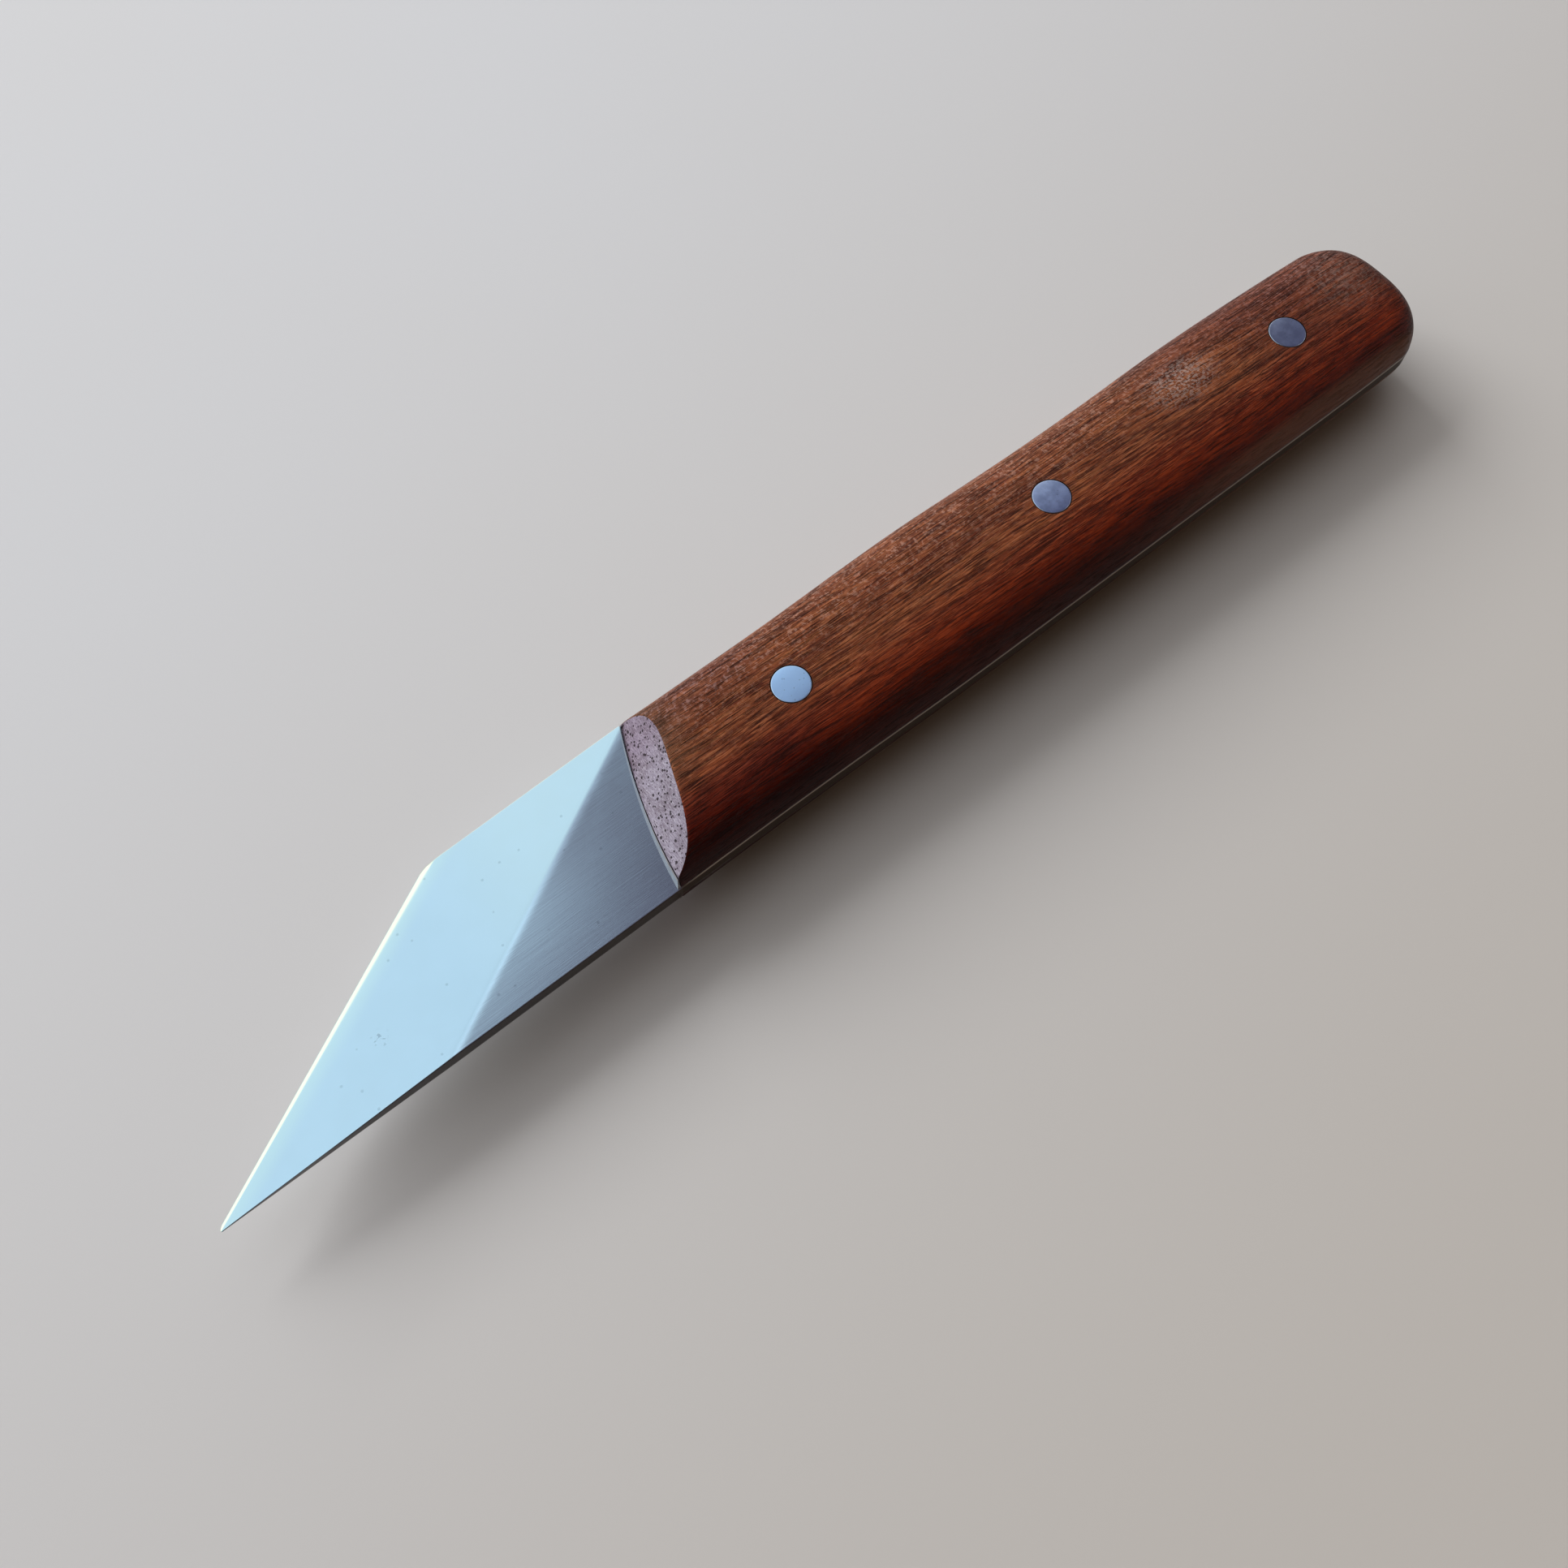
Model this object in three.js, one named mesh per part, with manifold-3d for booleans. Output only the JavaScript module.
// Whittling knife: a straight-spined blade with a slanted cutting edge, a full
// tang, two wooden handle scales bedded in epoxy, and three flush pins.
//
// Frame (millimetres): the knife lies on its side. +X runs to the tip, +Y to
// the spine, and Z is the thickness, with the steel's mid-plane at Z = 0. The
// origin is the centre of the bounding box.
//
// Two working coordinates are used below: t runs from a datum just behind the
// tip towards the butt, and n runs from the spine towards the cutting edge.
// "Ahead" means towards the tip, "back" towards the butt.

import * as THREE from 'three';
import { mergeVertices } from 'three/addons/utils/BufferGeometryUtils.js';
import Module from 'manifold-3d';

const wasm = await Module();
wasm.setup();

// ---- blade dimensions -------------------------------------------------------

const TIP_T = -0.34;
const BUTT_T = 183.1;
const STEEL = 2.38;                               // 3/32 in bar stock
const HALF_STEEL = STEEL / 2;
const HEEL_N = 20.42;                             // greatest n of the blade
const EDGE = { start: 0.32, slope: 0.5225 };      // cutting edge: n = start + slope t
const SPINE = { start: -0.28, slope: -0.00267 };  // spine: n = start + slope t
const GRIND_SPINE_END = { t: 31.2, n: 0.9 };      // two points on the grind line
const GRIND_HEEL_END = { t: 65.6, n: 19.6 };
const BEVEL_TIP = 0.06;     // half thickness of the main bevel where the edge line starts
const MICRO_SLOPE = 0.25;   // rise of the small finishing bevel, per side
const BLADE_END_T = 72;     // back of the bare outline, before it is trimmed

// (t, n) from the blunted tip, down the edge, round the softened heel and back
// to the spine
const BLADE_OUTLINE = [
  [TIP_T, -0.28], [TIP_T + 0.02, 0.02], [0.02, 0.33],
  [37.3, 19.81], [37.9, 20.08], [38.6, 20.27], [39.4, 20.38], [40.3, HEEL_N],
  [BLADE_END_T, HEEL_N], [BLADE_END_T, SPINE.start + SPINE.slope * BLADE_END_T],
];

// the blade and the tang overlap just ahead of the bead of epoxy
const BLADE_BEAD_GAP = 0.05;    // from the back of the blade's full thickness to the bead
const TANG_LEAD = 0.35;         // how far the tang starts ahead of the bead
const TANG_RELIEF = 0.10;       // how far the tang is let in under each scale
const HALF_TANG = HALF_STEEL - TANG_RELIEF;

// ---- scale front, pin and bead dimensions -----------------------------------

const FRONT = { start: 59.68, slope: 0.157, curve: 0.008065 };  // t as a quadratic in n
const LAND = 1.9;               // upright land at the foot of the scale's front, spine side
const LAND_LOSS = { fromN: 4, toN: 21, slope: 0.05 };  // it gets shallower between these n
const FRONT_LEAN = Math.tan(THREE.MathUtils.degToRad(52));  // bevel above the land, mm per mm

const PIN_R = 2.38;             // 3/16 in pin stock
const PIN_GAP = 0.13;           // glue gap round each pin
const PINS = [
  { name: 'pin_front', t: 83.6, n: 9.85 },
  { name: 'pin_middle', t: 124.0, n: 9.7 },
  { name: 'pin_rear', t: 164.9, n: 9.5 },
];

const BEAD = { start: 0.49, slope: -0.0158 };  // width of the squeezed-out bead against n
const BEAD_RISE = 1.7;          // its height above the blade
const BEAD_LEAN = 0.14;         // how far its face leans back, mm per mm
const BEAD_GAP = 0.04;          // hairline between the bead and the wood

// ---- handle dimensions ------------------------------------------------------

const BUTT_EDGE_SIDE_R = 5.6;   // plan corner radii of the butt
const BUTT_SPINE_SIDE_R = 5.2;
const BUTT_THICKNESS_R = 2.6;   // rounding of the butt over the thickness
const LEAST_HANDLE_N = -0.9304; // least n of the handle's rings
const RING_SIDES = 44;

// t of each ring of the handle
const STATIONS = [
  56, 61, 64.5, 67.5, 71, 75, 80, 85, 90, 95.5, 101, 106.5, 112, 117.5, 123, 128.5,
  134, 139.5, 145, 150.5, 156, 161.5, 167, 172, 176, 178.6, 180.4, 181.7, 182.5, 182.95,
  BUTT_T,
];

// (t, n) along the spine side of the handle
const SPINE_SIDE = [
  [56, -0.3], [68, -0.3], [76, -0.34], [84, -0.44], [92, -0.6], [100, -0.75],
  [110, -0.82], [125, -0.83], [140, -0.85], [152, -0.91], [165, -0.93], [172, -0.88],
  [178, -0.76], [183.46, -0.62],
];

// (t, n) along the edge side of the handle
const EDGE_SIDE = [
  [56, 20.24], [62, 20.18], [66, 20.03], [70, 19.95], [76, 19.93], [82, 19.93],
  [88, 19.97], [95, 20.12], [101, 20.24], [107, 20.28], [113, 20.16], [120, 19.94],
  [127, 19.78], [134, 19.74], [141, 19.8], [147, 19.93], [153, 19.98], [159, 19.9],
  [165, 19.74], [171, 19.5], [177, 19.2], [183.46, 18.8],
];

// (t, half thickness of the handle from the steel's mid-plane)
const HALF_THICKNESS = [
  [56, 6.2], [66, 6.3], [83, 6.6], [100, 7.0], [118, 7.28], [130, 7.3],
  [145, 7.05], [165, 6.55], [176, 6.4], [183.46, 6.25],
];

// (t, superellipse exponent): squarer at the ends, rounder in the palm
const EXPONENT = [[56, 3.0], [70, 2.95], [95, 2.6], [125, 2.4], [150, 2.5], [183.46, 2.7]];

// ---- frame ------------------------------------------------------------------

const ORIGIN_T = (TIP_T + BUTT_T) / 2;
const ORIGIN_N = (HEEL_N + LEAST_HANDLE_N) / 2;
const xOf = (t) => ORIGIN_T - t;
const yOf = (n) => ORIGIN_N - n;

// ---- solids and cutters -----------------------------------------------------

const CLEAR_Z = 10;             // |z| that clears the whole knife

function solid(geometry) {
  // only positions are kept, so that vertices split by normals or UVs can merge
  for (const name of Object.keys(geometry.attributes)) {
    if (name !== 'position') geometry.deleteAttribute(name);
  }
  const merged = mergeVertices(geometry, 1e-5);
  return new wasm.Manifold(new wasm.Mesh({
    numProp: 3,
    vertProperties: Float32Array.from(merged.attributes.position.array),
    triVerts: Uint32Array.from(merged.index.array),
  }));
}

function toGeometry(manifold) {
  const mesh = manifold.getMesh();
  const geometry = new THREE.BufferGeometry();
  geometry.setAttribute('position', new THREE.Float32BufferAttribute(mesh.vertProperties, 3));
  geometry.setIndex(Array.from(mesh.triVerts));
  geometry.computeVertexNormals();
  return geometry;
}

const mirrorZ = (manifold) => manifold.mirror([0, 0, 1]);

// a plan outline of (t, n) points raised from z0 to z1, leaning back by `lean`
// millimetres of t per millimetre of z
function prism(points, z0, z1, lean = 0) {
  const shape = new THREE.Shape(points.map(([t, n]) => new THREE.Vector2(xOf(t), yOf(n))));
  const geometry = new THREE.ExtrudeGeometry(shape, { depth: z1 - z0, bevelEnabled: false });
  geometry.applyMatrix4(new THREE.Matrix4().makeShear(0, 0, 0, 0, -lean, 0));
  geometry.translate(0, 0, z0);
  return solid(geometry);
}

// everything above the plane z = height + slopeT t + slopeN n
function above(slopeT, slopeN, height) {
  const up = new THREE.Vector3(0, 0, 1);
  const normal = new THREE.Vector3(slopeT, slopeN, 1).normalize();  // t, n run against X, Y
  const geometry = new THREE.BoxGeometry(500, 500, 60);
  geometry.translate(0, 0, 30);
  geometry.applyQuaternion(new THREE.Quaternion().setFromUnitVectors(up, normal));
  geometry.translate(0, 0, height + slopeT * ORIGIN_T + slopeN * ORIGIN_N);
  return solid(geometry);
}

const frontAt = (n) => FRONT.start + FRONT.slope * n + FRONT.curve * n * n;
const beadWidthAt = (n) => BEAD.start + BEAD.slope * n;

function landAt(n) {
  const { fromN, toN, slope } = LAND_LOSS;
  return LAND - slope * Math.max(0, Math.min(n, toN) - fromN);
}

// everything ahead of the scales' front curve moved ahead by leadAt(n)
function aheadOf(leadAt, z0 = -CLEAR_Z, z1 = CLEAR_Z, lean = 0) {
  const farT = -20;
  const leastN = -6;
  const greatestN = 28;
  const points = [[farT, leastN], [farT, greatestN]];
  for (let n = greatestN; n >= leastN; n -= 1) points.push([frontAt(n) - leadAt(n), n]);
  return prism(points, z0, z1, lean);
}

function pinRod({ t, n }, radius) {
  const geometry = new THREE.CylinderGeometry(radius, radius, 30, 32);
  geometry.rotateX(Math.PI / 2);
  geometry.translate(xOf(t), yOf(n), 0);
  return solid(geometry);
}

// ---- handle envelope: one closed tube of superellipse rings -----------------

function splineThrough(table) {
  const curve = new THREE.SplineCurve(table.map(([t, value]) => new THREE.Vector2(t, value)));
  const points = curve.getPoints(400);
  return (t) => {
    const i = Math.max(1, points.findIndex((point) => t <= point.x));
    const from = points[i - 1];
    const to = points[i];
    return from.y + (t - from.x) / (to.x - from.x) * (to.y - from.y);
  };
}

// quarter-circle fall-off over the last `radius` of t
function buttDrop(t, radius) {
  const depth = t - (BUTT_T - radius);
  return depth <= 0 ? 0 : radius - Math.sqrt(Math.max(0, radius * radius - depth * depth));
}

function makeEnvelope() {
  const spineSideAt = splineThrough(SPINE_SIDE);
  const edgeSideAt = splineThrough(EDGE_SIDE);
  const halfThicknessAt = splineThrough(HALF_THICKNESS);
  const exponentAt = splineThrough(EXPONENT);

  // a unit cylinder along Y, with one row of vertices per station
  const spans = STATIONS.length - 1;
  const geometry = new THREE.CylinderGeometry(1, 1, 1, RING_SIDES, spans);
  const position = geometry.attributes.position;
  for (let i = 0; i < position.count; i++) {
    const across = position.getZ(i);
    const up = position.getX(i);
    const t = STATIONS[Math.round((0.5 - position.getY(i)) * spans)];
    const spineN = spineSideAt(t) + buttDrop(t, BUTT_SPINE_SIDE_R);
    const edgeN = edgeSideAt(t) - buttDrop(t, BUTT_EDGE_SIDE_R);
    const halfThickness = halfThicknessAt(t) - buttDrop(t, BUTT_THICKNESS_R);

    const radius = Math.hypot(across, up);  // 0 at the centre of an end cap
    const power = 2 / exponentAt(t);
    const squared = (side) => (
      radius ? Math.sign(side) * Math.abs(side / radius) ** power * radius : 0
    );
    const y = squared(across);
    const z = squared(up);
    position.setXYZ(
      i,
      xOf(t),
      yOf((spineN + edgeN) / 2) + y * (edgeN - spineN) / 2,
      Math.abs(z) < 1e-6 ? 0 : z * halfThickness,
    );
  }
  return solid(geometry);
}

const envelope = makeEnvelope();
const pinHoles = PINS.map((pin) => pinRod(pin, PIN_R + PIN_GAP)).reduce((a, b) => a.add(b));

// the layer of the handle envelope between two heights
function handleLayer(z0, z1) {
  const geometry = new THREE.BoxGeometry(400, 100, z1 - z0);
  geometry.translate(0, 0, (z0 + z1) / 2);
  return envelope.intersect(solid(geometry));
}

// ---- pieces -----------------------------------------------------------------

// the plane through the grind line at full thickness that comes down to
// BEVEL_TIP where the cutting edge line starts
function aboveMainBevel() {
  const { t, n } = GRIND_SPINE_END;
  const ratio = -(GRIND_HEEL_END.t - t) / (GRIND_HEEL_END.n - n);
  const slopeT = (HALF_STEEL - BEVEL_TIP) / (t + ratio * (n - EDGE.start));
  const slopeN = slopeT * ratio;
  return above(slopeT, slopeN, BEVEL_TIP - slopeN * EDGE.start);
}

// the plane that meets the mid-plane on the cutting edge itself
function aboveFinishingBevel() {
  const slope = MICRO_SLOPE / Math.hypot(1, EDGE.slope);
  return above(slope * EDGE.slope, -slope, slope * EDGE.start);
}

// blade and tang, one piece of steel
function makeBlade() {
  const waste = aboveMainBevel().add(aboveFinishingBevel());
  const ground = prism(BLADE_OUTLINE, -HALF_STEEL, HALF_STEEL)
    .intersect(aheadOf((n) => beadWidthAt(n) + BLADE_BEAD_GAP))
    .subtract(waste)
    .subtract(mirrorZ(waste));
  const tang = handleLayer(-HALF_TANG, HALF_TANG)
    .subtract(aheadOf((n) => beadWidthAt(n) + TANG_LEAD));
  return ground.add(tang).subtract(pinHoles);
}

function makeScale() {
  const aboveFrontBevel = aheadOf(
    (n) => landAt(n) * FRONT_LEAN, HALF_STEEL, HALF_STEEL + 14, FRONT_LEAN,
  );
  return handleLayer(HALF_STEEL, 30)
    .subtract(aheadOf(() => 0))
    .subtract(aboveFrontBevel)
    .subtract(pinHoles);
}

// the epoxy under a scale, and the bead that rises in front of the wood
function makeBedding() {
  const aheadOfBead = aheadOf(beadWidthAt);
  const sheet = handleLayer(HALF_TANG, HALF_STEEL).subtract(aheadOfBead);
  const bead = handleLayer(HALF_TANG, HALF_STEEL + BEAD_RISE)
    .intersect(aheadOf(() => BEAD_GAP))
    .subtract(aheadOfBead)
    .subtract(aheadOf(beadWidthAt, HALF_STEEL, HALF_STEEL + 4, BEAD_LEAN));
  return sheet.add(bead).subtract(pinHoles);
}

const makePin = (pin) => pinRod(pin, PIN_R).intersect(envelope);

// ---- materials --------------------------------------------------------------

const material = (settings) => () => new THREE.MeshStandardMaterial(settings);
const steel = material({ color: 0xa9b4bd, roughness: 0.3, metalness: 1 });
const wood = material({ color: 0x6b3222, roughness: 0.45, metalness: 0 });
const epoxy = material({ color: 0x8d8a90, roughness: 0.3, metalness: 0 });
const pinSteel = material({ color: 0x8b96a8, roughness: 0.4, metalness: 1 });

// ---- scene graph ------------------------------------------------------------

const knife = new THREE.Group();

function addPiece(name, manifold, surface) {
  const mesh = new THREE.Mesh(toGeometry(manifold), surface);
  mesh.name = name;
  knife.add(mesh);
}

function addPair(name, manifold, makeMaterial) {
  addPiece(`${name}_left`, manifold, makeMaterial());
  addPiece(`${name}_right`, mirrorZ(manifold), makeMaterial());
}

addPiece('blade', makeBlade(), steel());
addPair('scale', makeScale(), wood);
addPair('bedding', makeBedding(), epoxy);
for (const pin of PINS) addPiece(pin.name, makePin(pin), pinSteel());

export default knife;
